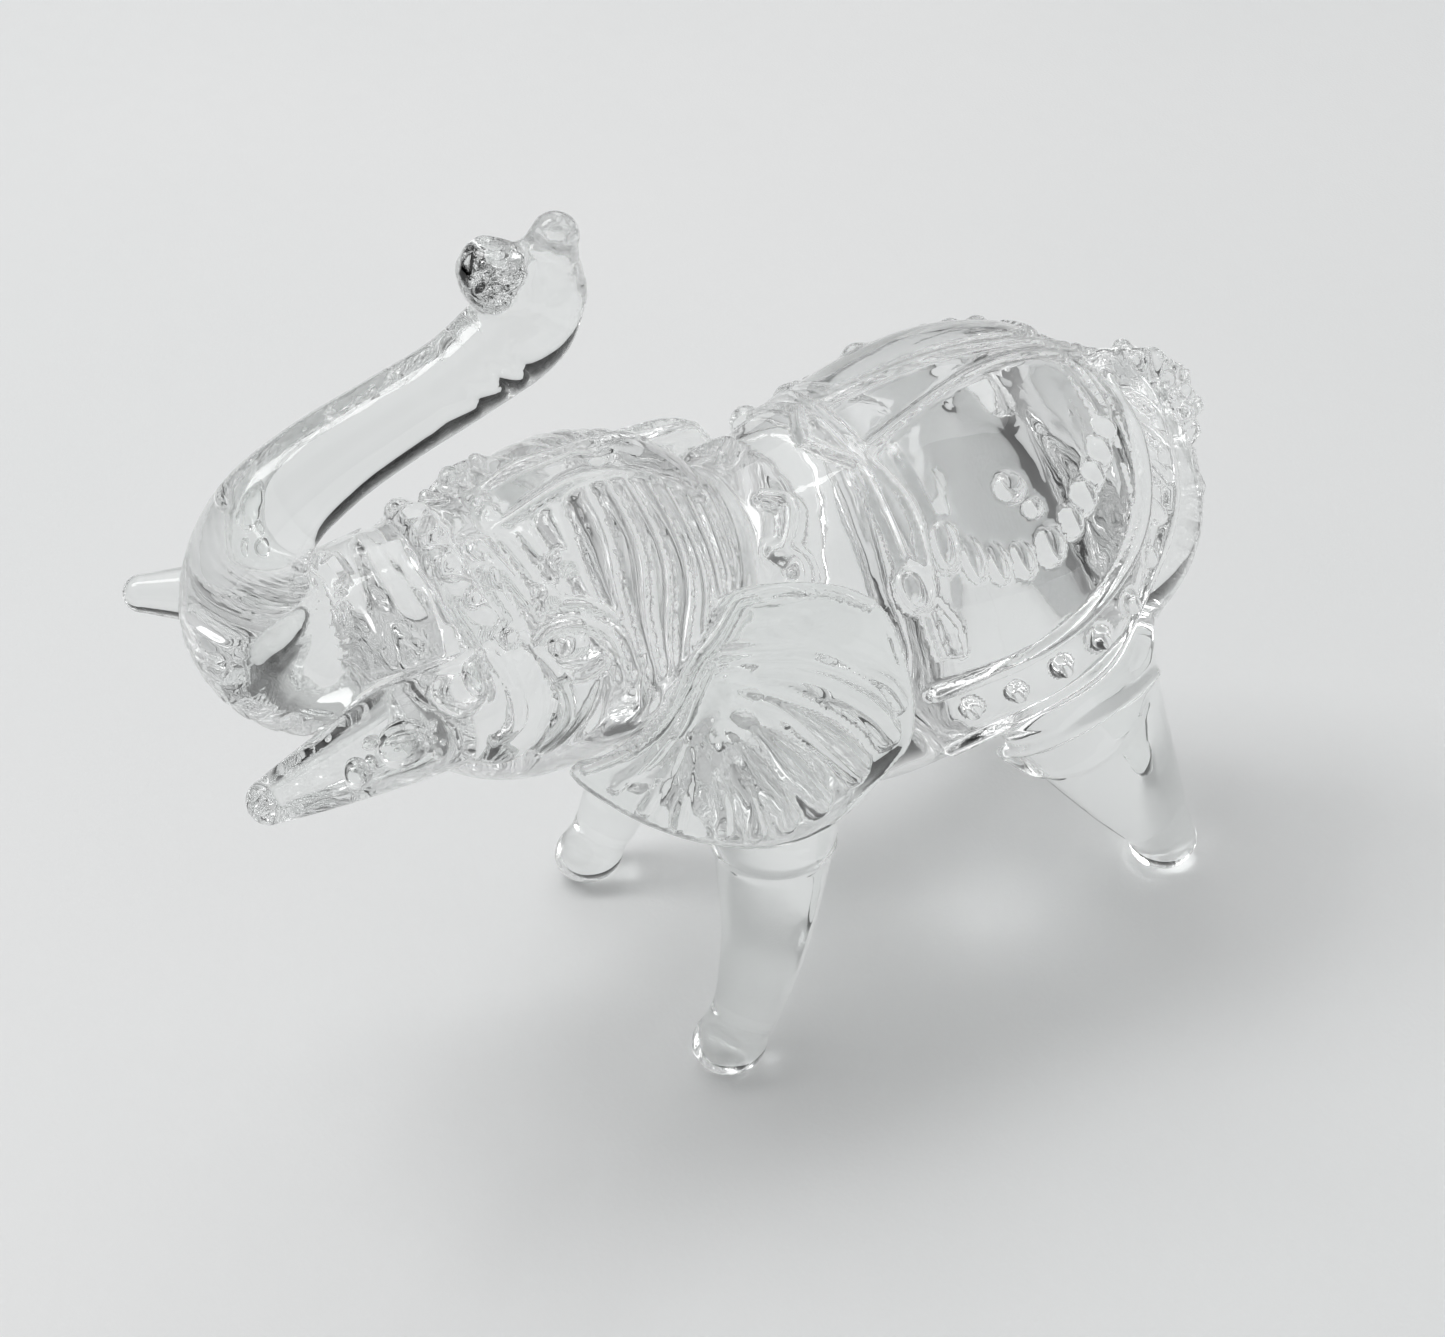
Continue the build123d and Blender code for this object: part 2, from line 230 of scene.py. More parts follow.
REAR_LEG = Tube([(8.4, 24.8, 27, 7.8), (9.3, 27.9, 20, 6.5), (10.4, 32.1, 12, 4.7), (11.1, 35.5, 6, 3.2),
                 (11.2, 36.4, 4.5, 2.9)])
LEG_COLLAR = Egg((10.3, -3.0, 21.4), (5.0, 5.0, 1.3))
FRONT_FOOT = Egg((12.5, -8.2, 2.6), (2.8, 3.1, 2.6))
REAR_FOOT = Egg((11.3, 37.0, 2.6), (2.8, 3.1, 2.6))
TAIL = Tube([(0, 33.5, 46.2, 2.1), (0, 37.4, 45.6, 1.6), (0, 40.6, 43.4, 1.2), (0, 41.8, 40.6, 1.1)])
TUFT = Egg((0, 41.6, 38.2), (2.0, 1.8, 2.8))
TAIL_BEADS = [Egg(place, (0.9, 0.8, 0.9)) for place in
              [(1.3, 40.6, 43.0), (1.5, 38.5, 45.0), (0.9, 42.4, 40.9), (1.6, 41.9, 38.9), (1.2, 41.9, 36.4),
               (1.0, 35.6, 47.3), (2.6, 37.0, 44.9), (1.5, 40.9, 41.0)]]
HAUNCH_FOLDS = [Tube([(8.7, 19.9, 18.6, 0.5), (12.2, 19.9, 21.9, 0.7), (15.2, 21.7, 25.6, 0.8),
                      (15.9, 24.6, 27.3, 0.8), (15.2, 27.8, 27.5, 0.7), (14.1, 30.4, 26.8, 0.4)]),
                Tube([(8.7, 20.4, 17.9, 0.4), (11.2, 22.4, 17.3, 0.6), (14.4, 24.4, 20.4, 0.8),
                      (15.2, 26.6, 22.8, 0.7), (14.9, 28.6, 25.0, 0.5)])]

# the gathers of glass in the order in which they're joined: piece, shape, size of the fillet
GATHERS = [("torso", TORSO, 1), ("torso", BELLY, 3), ("torso", CHEST, 3), ("head", HEAD, 3),
           ("lower_jaw", JAW, 4), ("trunk", TRUNK, 3), ("front_leg", FRONT_LEG, 3),
           ("front_foot", FRONT_FOOT, 1.2), ("rear_leg", REAR_LEG, 3), ("rear_foot", REAR_FOOT, 1.2),
           ("front_leg", LEG_COLLAR, 0.5), ("tusk_socket", SOCKET, 0.8), ("tusk", TUSK, 0.7),
           ("nostril_lip", NOSTRIL, 1.1), ("finger_lip", FINGER, 1.1), ("tail", TAIL, 1.2),
           ("tail_tuft", TUFT, 0.8)]

# where the pieces meet: the trunk is all that lies ahead of TRUNK_START or above CLEAR_OF_HEAD
NECK = -5.7
ANKLE = 4.4
BETWEEN_LEGS = 11
TRUNK_START, CLEAR_OF_HEAD = -26.7, 55.6
ROOT_END, ROOT_TOP = -31.8, 54.6
# a point on each cut across the trunk, and the way to the piece beyond it
TRUNK_CUTS = {"trunk_tip": ((0, -21.5, 63.6), (0, 0.88, 0.47)),
              "trunk_rod": ((0, -35.7, 57.4), (0, 0.84, 0.53))}
# how deep the seams lie below the small relief, and below the cloth and the strap
RELIEF_SEAM, CLOTH_SEAM = 0.05, 0.5

# the brow's overhang above the trunk, the crown's bosses, and the folds on the head and the shoulder
BROW = Tube([(0, -25.4, 52.1, 1.3), (3.4, -25.2, 51.1, 1.3), (6.2, -24.6, 49.0, 1.1),
             (7.7, -24.2, 47.2, 0.8)])
BROW_GROOVE = Tube([(0, -27.8, 53.6, 1.3), (3.6, -27.5, 52.5, 1.2), (6.5, -26.7, 50.2, 1.0)])
BOSSES = [Egg(place, size, turn(tilt, 0, 3 * tilt)) for place, size, tilt in
          [((1.1, -25.3, 53.0), (1.0, 1.2, 0.8), 20), ((3.4, -25.5, 51.9), (1.1, 0.9, 0.9), 50),
           ((5.5, -24.9, 50.4), (1.0, 0.9, 0.9), 15), ((7.2, -24.0, 48.9), (0.9, 1.0, 0.8), 35),
           ((7.9, -19.9, 50.0), (1.0, 0.8, 0.8), 10), ((6.7, -18.0, 51.2), (0.9, 1.0, 0.7), 60),
           ((2.3, -23.1, 51.6), (0.9, 1.3, 0.8), 5), ((1.0, -20.6, 52.4), (0.8, 1.1, 0.7), 30),
           ((4.9, -22.7, 50.7), (0.7, 1.1, 0.7), 70), ((8.4, -23.0, 47.9), (0.6, 0.8, 0.7), 25)]]
HEAD_RIDGE = Tube([(2.5, -24.2, 50.4, 0.5), (2.1, -21.4, 51.8, 0.5), (2.1, -17.3, 53.4, 0.55),
                   (1.7, -14.4, 53.8, 0.5), (2.1, -11.2, 53.6, 0.5), (3.2, -8.2, 52.2, 0.55),
                   (4.1, -5.6, 50.4, 0.35)])
CROWN_DIP = Egg((0.9, -11.3, 54.6), (1.0, 1.6, 1.1))
EYE_AXES = turn(0, -24, -27)
EYE = Egg((10.0, -19.3, 46.9), (0.85, 1.15, 1.0), EYE_AXES)
EYE_PIT = Egg((11.0, -19.8, 47.3), (1.0, 2.0, 1.5), EYE_AXES)
EYE_LIDS = [Tube([(9.0, -21.5, 46.8, 0.5), (9.2, -20.5, 48.1, 0.6), (9.9, -18.6, 48.5, 0.6),
                  (10.6, -17.1, 47.4, 0.5), (11.2, -16.4, 45.6, 0.35)]),
            Tube([(9.4, -21.6, 46.0, 0.3), (10.3, -20.7, 45.2, 0.5), (11.0, -19.0, 44.9, 0.55),
                  (11.2, -17.4, 45.5, 0.4)]),
            Tube([(8.3, -20.3, 49.2, 0.4), (8.9, -18.9, 49.6, 0.5), (9.8, -17.0, 49.0, 0.45),
                  (10.6, -15.8, 47.4, 0.3)])]
CHEEK_GROOVES = [Tube([(11.4, -17.6, 44.2, 0.3), (11.3, -18.2, 42.0, 0.5), (10.1, -18.9, 38.8, 0.6),
                       (8.9, -20.6, 36.4, 0.4)]),
                 Tube([(12.1, -14.6, 43.2, 0.3), (11.7, -14.1, 40.2, 0.55), (11.2, -15.4, 38.0, 0.4)])]
SHOULDER_BAND = Tube([(2.9, 0.1, 48.0, 0.6), (4.3, 1.3, 47.8, 0.7), (5.6, 0.7, 47.0, 0.6),
                      (6.6, -0.3, 46.1, 0.5)])
SHOULDER_RIM = Tube([(6.4, -0.9, 45.5, 0.8), (7.8, 0.1, 44.9, 0.9), (8.7, -0.3, 43.8, 0.9),
                     (8.9, -2.1, 43.2, 0.8), (8.5, -3.6, 43.2, 0.6)])
SHOULDER_DISH = Egg((8.6, -1.9, 45.8), (1.4, 1.5, 1.4))

# the ear is a leaning plate: u runs rearwards along it and v runs up it, from its centre
EAR_CENTRE = np.array([12.6, -12.0, 42.4])
EAR_AXES = turn(y=-17.6)
EAR_OUTLINE = rounded([(5.0, 4.8), (7.5, 4.7), (10.4, 3.9), (13.6, 2.8), (16.1, 0.6), (17.4, -2.7),
                       (17.9, -7.7), (17.0, -11.0), (14.7, -12.6), (11.2, -14.5), (8.4, -15.2),
                       (4.4, -14.9), (-0.8, -12.6), (-4.1, -10.4), (-6.4, -8.2), (-8.0, -6.0),
                       (-7.2, -4.8), (-4.2, -4.2), (-1.8, -2.2), (0.0, 0.0), (1.4, 1.8), (3.2, 3.6)])
# each petal: u, v, radius from its root at the fan's centre to its rounded end
PETALS = [[(2.5, 0.2, 0.4), (8.6, -2.4, 1.0), (13.2, -6.4, 1.3), (14.9, -9.2, 1.2)],
          [(3.0, -1.6, 0.4), (6.5, -4.3, 0.9), (9.8, -7.8, 1.3), (11.9, -11.0, 1.2)],
          [(1.9, -2.8, 0.4), (4.4, -5.6, 0.8), (6.4, -8.7, 1.1), (8.5, -12.6, 1.1)],
          [(1.3, -3.3, 0.3), (2.9, -6.3, 0.75), (4.5, -9.5, 1.0), (5.7, -13.0, 1.0)],
          [(0.6, -3.8, 0.3), (1.6, -6.3, 0.6), (2.7, -9.6, 0.8), (3.2, -12.9, 0.8)],
          [(0.1, -4.5, 0.3), (0.7, -7.0, 0.5), (1.0, -10.0, 0.65), (0.8, -12.0, 0.6)],
          [(-0.5, -4.5, 0.3), (-1.0, -6.8, 0.5), (-1.8, -9.3, 0.6), (-2.2, -10.6, 0.55)],
          [(-0.8, -3.9, 0.3), (-2.2, -6.1, 0.5), (-4.1, -8.9, 0.6)],
          [(-1.3, -3.2, 0.25), (-3.2, -5.0, 0.4), (-5.6, -6.9, 0.5)]]
# the ear's raised folds: u, v, radius
EAR_FOLDS = [[(2.6, 1.6, 0.45), (5.9, 0.8, 0.55), (10.0, -0.7, 0.5), (12.9, -3.1, 0.45), (15.3, -5.2, 0.6),
              (16.3, -7.3, 0.7)],
             [(5.0, 4.4, 0.4), (3.2, 3.2, 0.55), (1.0, 1.6, 0.6), (-0.6, -0.4, 0.6), (-2.7, -2.8, 0.55),
              (-5.2, -4.4, 0.5), (-7.2, -5.2, 0.4)],
             [(1.6, 0.8, 0.4), (0.2, -1.2, 0.5), (-0.6, -2.6, 0.5), (-1.2, -3.4, 0.4)],
             [(5.4, 4.5, 0.45), (8.6, 4.2, 0.5), (12.2, 3.1, 0.45), (15.2, 1.2, 0.35)]]

# marks on the torso, placed by y and by the angle in degrees from straight up around its long axis
AXIS_Z = 36.0
ARC = math.radians(1) * 15
STRAP = [(5.0, -9), (5.0, 0), (5.6, 8), (6.9, 18), (6.7, 34), (6.8, 49), (7.2, 60), (8.8, 60), (9.3, 43),
         (9.2, 33), (8.5, 20), (8.4, 12), (8.3, 0), (8.3, -9)]
STRAP_END = [(7.7, 66), (8.1, 76), (8.7, 85), (10.6, 86), (10.2, 75), (8.9, 66)]
CLOTH = [(9.9, 16), (12.6, 12), (16.5, 9), (20.0, 7), (25.0, 6), (28.6, 12), (28.6, 26), (27.2, 34),
         (25.4, 42), (23.2, 49), (20.6, 55), (16.8, 60), (12.4, 59), (10.0, 48), (9.9, 33)]
CLOTH_RIDGE = [(8.6, 14), (12.6, 10.5), (16.5, 7.5), (20.5, 5), (25.5, 3.5), (29.5, 3)]
TASSEL = (7.6, 60.5)
# each drop: y, angle, half length down the flank, half width
DROPS = [(10.5, 51, 1.9, 0.95), (12.2, 57, 1.9, 0.85), (13.9, 60, 1.8, 0.85), (15.8, 61, 1.6, 0.95),
         (18.2, 60, 1.6, 1.25), (20.4, 56, 1.3, 1.0), (22.1, 51, 1.3, 1.1), (23.6, 46.5, 1.1, 0.95),
         (25.1, 41, 1.2, 1.05), (26.6, 35, 1.1, 1.0)]
STUDS = [(16.4, 42, 1.25), (17.6, 49, 0.75)]
INNER_CORD = [(32.5, 0), (31.4, 21), (30.0, 40), (28.3, 58), (25.6, 71), (21.2, 82), (15.9, 91), (8.7, 99)]
OUTER_CORD = [(35.3, 0), (35.0, 21), (33.4, 48), (31.8, 70), (28.6, 94), (23.6, 107), (18.3, 118),
              (12.2, 132)]
BEADS = [(34.4, 8), (33.6, 24), (32.6, 39), (31.6, 53), (30.3, 66), (28.2, 78), (25.6, 88), (22.4, 94),
         (19.0, 99), (15.4, 105), (11.9, 109)]


def torso_only(points):
    """The bare torso's field, which the marks on it are seated on."""
    clay = Clay(points, False)
    for shape, blend in ((TORSO, 1), (BELLY, 3), (CHEST, 3)):
        clay.join("torso", shape, blend)
    return clay.depth


def seat(y, angle, lift=0.0):
    """A point on the torso along a ray from its axis, raised by lift."""
    ray = np.array([math.sin(math.radians(angle)), 0, math.cos(math.radians(angle))])
    low, high = 2.0, 24.0
    for _ in range(22):
        middle = (low + high) / 2
        outside = torso_only(np.array([[0, y, AXIS_Z]]) + middle * ray)[0] > 0
        low, high = (low, middle) if outside else (middle, high)
    return np.array([0, y, AXIS_Z]) + (low + lift) * ray


def pad(y, angle, sizes, spin=0.0, lift=0.0):
    """An egg on the torso. Its sizes run down the flank, along the body and outwards."""
    down = seat(y, angle + 2) - seat(y, angle - 2)
    down /= np.linalg.norm(down)
    along = seat(y + 0.5, angle) - seat(y - 0.5, angle)
    out = np.cross(down, along)
    out *= np.sign(out @ (seat(y, angle) - (0, y, AXIS_Z))) / np.linalg.norm(out)
    along = np.cross(out, down)
    turned = math.cos(math.radians(spin)) * down + math.sin(math.radians(spin)) * along
    axes = np.stack([turned, np.cross(out, turned), out], 1)
    return Egg(seat(y, angle) + lift * out, sizes, axes)


def trail(stations, radius, lift=0.0):
    """A tube lying on the torso."""
    return Tube([(*seat(y, angle, lift), radius) for y, angle in stations])


def ear_bend(u, v):
    """How far the plate lies inwards of its plane: it turns in towards the throat and at its top."""
    return 0.2 - 0.037 * np.maximum(3 - u, 0) ** 2 - 0.12 * np.maximum(v - 1.5, 0) ** 2


def ear_tube(stations, lift):
    """A tube lying on the ear, raised by lift."""
    places = [EAR_CENTRE + EAR_AXES @ (ear_bend(u, v) + lift, u, v) for u, v, _ in stations]
    return Tube([(*place, station[2]) for place, station in zip(places, stations)])


class EarPlate:
    """The ear's plate, thick in the middle and thin at its rim."""

    low, high = EAR_CENTRE - (8, 10, 17), EAR_CENTRE + (9, 20, 7)

    def __call__(self, points):
        w, u, v = ((points - EAR_CENTRE) @ EAR_AXES).T
        gap = outline_gap(np.stack([u, v], 1), EAR_OUTLINE)
        half = 0.5 + 0.45 * fade(-gap, 0.5, 5)
        return soft_max(gap, np.abs(w - ear_bend(u, v)) - half, 0.8)


EAR = EarPlate()
EAR_RIDGES = [ear_tube(petal, 0.45) for petal in PETALS] + [ear_tube(fold, 0.6) for fold in EAR_FOLDS]
TORSO_RELIEF = {
    "cloth_studs": [pad(y, angle, (size, size, 0.9)) for y, angle, size in STUDS],
    "cloth_fringe": [pad(y, angle, (length, width, 0.95), (angle - 52) * 1.5)
                     for y, angle, length, width in DROPS],
    "strap_tassels": [pad(*TASSEL, (1.9, 1.35, 1.5), 8, 0.3)],
    "rump_cord_inner": [trail(INNER_CORD, 0.8)],
    "rump_cord_outer": [trail(OUTER_CORD, 0.85)],
    "band_beads": [pad(y, angle, (1.6, 0.75, 0.8), 35, 0.1) for y, angle in BEADS],
}
CLOTH_CREASE = trail(CLOTH_RIDGE, 0.5, -0.1)

# air caught in the glass: centre, half length, half width, with fine bubbles strewn along the tusk
FINE = np.random.default_rng(11)
TUSK_BUBBLES = [((9.9, -32.3, 43.7), 2.1, 1.25), ((10.9, -36.0, 43.7), 1.0, 0.8),
                ((10.6, -34.5, 45.0), 0.8, 0.45)]
TUSK_BUBBLES += [((6.6 + 5.8 * t + dx, -25.0 - 16.8 * t, 42.2 + 2.7 * t + dz), size * 1.5, size)
                 for t, dx, dz, size in zip(FINE.uniform(0.25, 0.6, 12), FINE.normal(0, 0.5, 12),
                                            FINE.normal(-0.6, 0.4, 12), FINE.uniform(0.12, 0.32, 12))]
SOCKET_BUBBLES = [((8.2, -25.3, 44.9), 1.7, 1.15)]

# the two sides aren't exact mirror images: slow waves of a tenth of a millimetre run through the glass,
# and quick ripples roughen the trunk's lips and the tail
WAVES = np.random.default_rng(5)
SLOW = [(WAVES.normal(size=3) * 0.16, WAVES.uniform(0, 6.3)) for _ in range(7)]
RIPPLES = [(WAVES.normal(size=3) * 2.6, WAVES.uniform(0, 6.3)) for _ in range(9)]
SLOW_HEIGHT, LIP_HEIGHT, TAIL_HEIGHT = 0.07, 0.05, 0.22

# heights of the strap, of the hollow along it and of the cloth, and the spacing of the head's folds
STRAP_RISE, STRAP_HOLLOW, CLOTH_RISE = 0.5, 0.22, 0.35
WRINKLE_SPACING = 1.75


def waves(points, kinds):
    """A sum of plane waves, each with its own run and start."""
    return sum(np.sin(points @ run + start) for run, start in kinds) / len(kinds) ** 0.5


def wrinkles(points):
    """Height of the long upright folds on the side of the head, which draw together towards the cheek."""
    x, y, z = points.T
    phase = (y + 14.5) * (1 + 0.035 * (53 - z)) / WRINKLE_SPACING + 0.35 * np.sin(0.45 * z + 0.5 * y)
    line = np.floor(phase)
    depth = 0.32 + 0.12 * np.sin(line * 2.4)
    low = np.interp(y, [-25.5, -22.4, -17.9, -13.5, -10.9, -8, -3], [50, 45.7, 43.6, 42.2, 43.4, 45.0, 47.0])
    place = fade(z - low, 0, 1.4) * fade(x, 2.2, 3.6) * fade(-y, 3.2, 5) * fade(y, -25.2, -23.6)
    eye = 1 - np.exp(-((((points - (10.1, -19.1, 46.9)) ** 2).sum(1) / 7.5) ** 2))
    return place * eye * depth * (np.sqrt(np.abs(np.sin(np.pi * phase)) + 0.02) - 0.75) * 1.5


def sculpt(points, keep=False):
    """The whole figurine's field at points of either side."""
    folded = points * 1.0
    folded[:, 0] = np.abs(folded[:, 0])
    clay = Clay(folded, keep)
    for part, shape, fillet in GATHERS:
        clay.join(part, shape, fillet)
    clay.carve(NOSTRIL_PIT, 0.8)

    # low relief: the cloth and the strap, the head's folds, and the waves
    x, y, z = folded.T
    skin = np.abs(clay.depth) < 4
    flank = np.stack([y, np.degrees(np.arctan2(x, z - AXIS_Z)) * ARC], 1)
    back = skin & (y > 2) & (y < 33) & (z > 30)
    strap, cloth = np.full(len(x), FAR), np.full(len(x), FAR)
    for gap, outlines in ((strap, (STRAP, STRAP_END)), (cloth, (CLOTH,))):
        for outline in outlines:
            corners = np.array(outline, float) * (1, ARC)
            gap[back] = np.minimum(gap[back], outline_gap(flank[back], corners))
    clay.depth -= STRAP_RISE * fade(-strap, -0.25, 0.3) - STRAP_HOLLOW * fade(-strap, 0.35, 0.8)
    clay.depth -= CLOTH_RISE * fade(-cloth, -0.3, 0.5)
    side = skin & (y < -2) & (y > -26) & (z > 41)
    clay.depth[side] -= wrinkles(folded[side])
    lips = LIP_HEIGHT * fade(z, 66.5, 69.5) * fade(y, -23, -19)
    clay.depth -= (lips + TAIL_HEIGHT * fade(y, 37, 40) * fade(z, 35, 38)) * waves(folded, RIPPLES)
    clay.depth -= SLOW_HEIGHT * waves(points, SLOW)

    clay.mark("cloth", cloth)
    clay.mark("strap", strap)

    # high relief, piece by piece
    for part, shapes in TORSO_RELIEF.items():
        clay.relief(part, shapes)
    clay.relief("torso", [CLOTH_CREASE, SHOULDER_BAND, SHOULDER_RIM], 0.7)
    clay.carve(SHOULDER_DISH, 1.4)
    clay.relief("rear_leg", HAUNCH_FOLDS, 0.8)
    clay.relief("tail", TAIL_BEADS)
    clay.relief("head", [BROW, HEAD_RIDGE, *EYE_LIDS], 0.5)
    clay.carve(BROW_GROOVE, 0.5)
    clay.carve(CROWN_DIP, 0.5)
    for groove in CHEEK_GROOVES:
        clay.carve(groove, 0.5)
    clay.relief("brow_bosses", BOSSES, 0.6)
    clay.carve(EYE_PIT, 0.3)
    clay.relief("eye", [EYE], 0.3)
    clay.carve(SOCKET_HOLLOW, 0.4)
    clay.relief("tusk_socket", [SOCKET_FOLD, SOCKET_RING], 0.4)
    under = clay.depth * 1.0
    clay.join("ear", EAR, 1)
    clay.relief("ear", EAR_RIDGES, 0.32)
    clay.mark("under ear", under)
    clay.depth = soft_max(clay.depth, -points[:, 2], 0.3)
    return clay


# ---- Meshing ------------------------------------------------------------------------------------
# a box a little larger than the figurine, and how many grid steps a coarse block is long
BOX_LOW, BOX_HIGH = np.array([-20.0, -46.0, -1.0]), np.array([20.0, 46.0, 76.0])
BLOCK = 4


def surface_nets(field, low, step):
    """Quads on a dense field's zero level, wound so that their normals point to higher values."""
    solid = field < 0
    sizes = [size - 1 for size in field.shape]
    corners = [(i, j, k) for i in (0, 1) for j in (0, 1) for k in (0, 1)]
    count = sum(solid[i:i + sizes[0], j:j + sizes[1], k:k + sizes[2]].astype(np.int8) for i, j, k in corners)
    crossed = (count > 0) & (count < 8)
    cells = np.argwhere(crossed)
    number = np.full(crossed.shape, -1)
    number[crossed] = np.arange(len(cells))
    total = np.zeros((len(cells), 3))
    hits = np.zeros(len(cells))
    for a in range(8):
        for b in range(a + 1, 8):
            first, second = np.array(corners[a]), np.array(corners[b])
            if np.abs(first - second).sum() != 1:
                continue
            f, g = field[tuple((cells + first).T)], field[tuple((cells + second).T)]
            cross = (f < 0) != (g < 0)
            share = np.where(cross, f / np.where(cross, f - g, 1), 0)
            total += np.where(cross[:, None], first + share[:, None] * (second - first), 0)
            hits += cross
    points = low + step * (cells + total / hits[:, None])
    quads = []
    for axis, (side, up) in enumerate(((1, 2), (2, 0), (0, 1))):
        before = [slice(None)] * 3
        after = [slice(None)] * 3
        before[axis], after[axis] = slice(0, -1), slice(1, None)
        edges = np.argwhere(solid[tuple(before)] != solid[tuple(after)])
        edges = edges[(edges[:, side] > 0) & (edges[:, up] > 0)]
        edges = edges[(edges[:, side] < sizes[side]) & (edges[:, up] < sizes[up])]
        left, down = np.eye(3, dtype=int)[side], np.eye(3, dtype=int)[up]
        shifts = (left + down, down, 0 * left, left)
        quad = np.stack([number[tuple((edges - shift).T)] for shift in shifts], 1)
        flip = ~solid[tuple(edges.T)]
        quad[flip] = quad[flip][:, ::-1]
        quads.append(quad)
    return points, np.concatenate(quads)


def gradient(points, reach=0.02):
    """The field and its gradient, from the four corners of a small tetrahedron round each point."""
    corners = np.array([(1, 1, 1), (1, -1, -1), (-1, 1, -1), (-1, -1, 1)], float)
    values = [sculpt(points + reach * corner).depth for corner in corners]
    slope = sum(value[:, None] * corner for value, corner in zip(values, corners)) / (4 * reach)
    return sum(values) / 4, slope


def mesh_clay(low, high):
    """The figurine's surface: points, unit normals and quads, all on the field's zero level."""
    block = BLOCK * STEP
    counts = np.ceil((high - low) / block).astype(int)
    grid = np.stack(np.meshgrid(*[np.arange(count) for count in counts], indexing="ij"), -1).reshape(-1, 3)
    coarse = sculpt(low + block * (grid + 0.5)).depth
    field = coarse.reshape(counts)
    for axis in range(3):
        field = np.repeat(field, BLOCK, axis)
    close = grid[np.abs(coarse) < 1.2 * block]
    inner = np.stack(np.meshgrid(*[np.arange(BLOCK)] * 3, indexing="ij"), -1).reshape(-1, 3)
    fine = (close[:, None] * BLOCK + inner).reshape(-1, 3)
    field[tuple(fine.T)] = sculpt(low + STEP * (fine + 0.5)).depth
    points, quads = surface_nets(field, low + 0.5 * STEP, STEP)
    for _ in range(2):
        value, slope = gradient(points)
        move = value[:, None] * slope / np.maximum((slope**2).sum(1), 0.2)[:, None]
        points = points - np.clip(move, -0.3 * STEP, 0.3 * STEP)
    _, slope = gradient(points, 0.4 * STEP)
    return points, slope / np.linalg.norm(slope, axis=1)[:, None], quads


# ---- Parting ------------------------------------------------------------------------------------
class Skin:
    """A closed triangle mesh with a table of field values at its points. Seam faces lie inside the glass."""

    def __init__(self, points, normals, values, faces, seam):
        self.points, self.normals, self.values, self.faces, self.seam = points, normals, values, faces, seam

    def with_points(self, points, normals, values):
        """The same skin with points added to its tables."""
        return Skin(np.concatenate([self.points, points]), np.concatenate([self.normals, normals]),
                    np.concatenate([self.values, values]), self.faces, self.seam)

    def side(self, chosen, faces, seam):
        """The chosen faces with more faces added, and only the points that they use."""
        every = np.concatenate([self.faces[chosen], faces])
        used, renumbered = np.unique(every, return_inverse=True)
        return Skin(self.points[used], self.normals[used], self.values[used],
                    renumbered.reshape(-1, 3), np.concatenate([self.seam[chosen], seam]))


def split_faces(skin, g):
    """Cut every face that g = 0 crosses. Returns the new skin and which faces lie where g is negative."""
    g = np.where(np.abs(g) < 0.01, 0.01, g)
    inside = g[skin.faces] < 0
    count = inside.sum(1)
    whole = (count == 0) | (count == 3)
    faces, alone_inside = skin.faces[~whole], count[~whole] == 1
    alone = np.argmax(inside[~whole] == alone_inside[:, None], axis=1)
    a, b, c = (np.take_along_axis(faces, ((alone + turn_by) % 3)[:, None], 1)[:, 0] for turn_by in range(3))
    pairs = np.sort(np.concatenate([np.stack([a, b], 1), np.stack([a, c], 1)]), 1)
    pairs, index = np.unique(pairs, axis=0, return_inverse=True)
    first, second = pairs.T
    index = index.ravel()
    share = (g[first] / (g[first] - g[second]))[:, None]
    start = len(skin.points)
    cut = skin.with_points(*(table[first] + share * (table[second] - table[first])
                             for table in (skin.points, skin.normals, skin.values)))
    ab, ac = start + index[:len(a)], start + index[len(a):]
    cut.faces = np.concatenate([skin.faces[whole], np.stack([a, ab, ac], 1), np.stack([ab, b, c], 1),
                                np.stack([ab, c, ac], 1)])
    seam = skin.seam[~whole]
    cut.seam = np.concatenate([skin.seam[whole], seam, seam, seam])
    return cut, np.concatenate([count[whole] == 3, alone_inside, ~alone_inside, ~alone_inside])


def open_edges(faces):
    """The directed edges whose opposite isn't in the same set of faces."""
    edges = np.concatenate([faces[:, [0, 1]], faces[:, [1, 2]], faces[:, [2, 0]]])
    size = int(edges.max()) + 1
    return edges[~np.isin(edges[:, 0] * size + edges[:, 1], edges[:, 1] * size + edges[:, 0])]


def loops_of(edges):
    """Group directed edges into closed loops."""
    onward = {}
    for start, end in edges.tolist():
        onward.setdefault(start, []).append(end)
    while onward:
        start = next(iter(onward))
        loop, here = [], start
        while here in onward:
            ahead = onward[here].pop()
            if not onward[here]:
                del onward[here]
            loop.append((here, ahead))
            here = ahead
        yield np.array(loop)


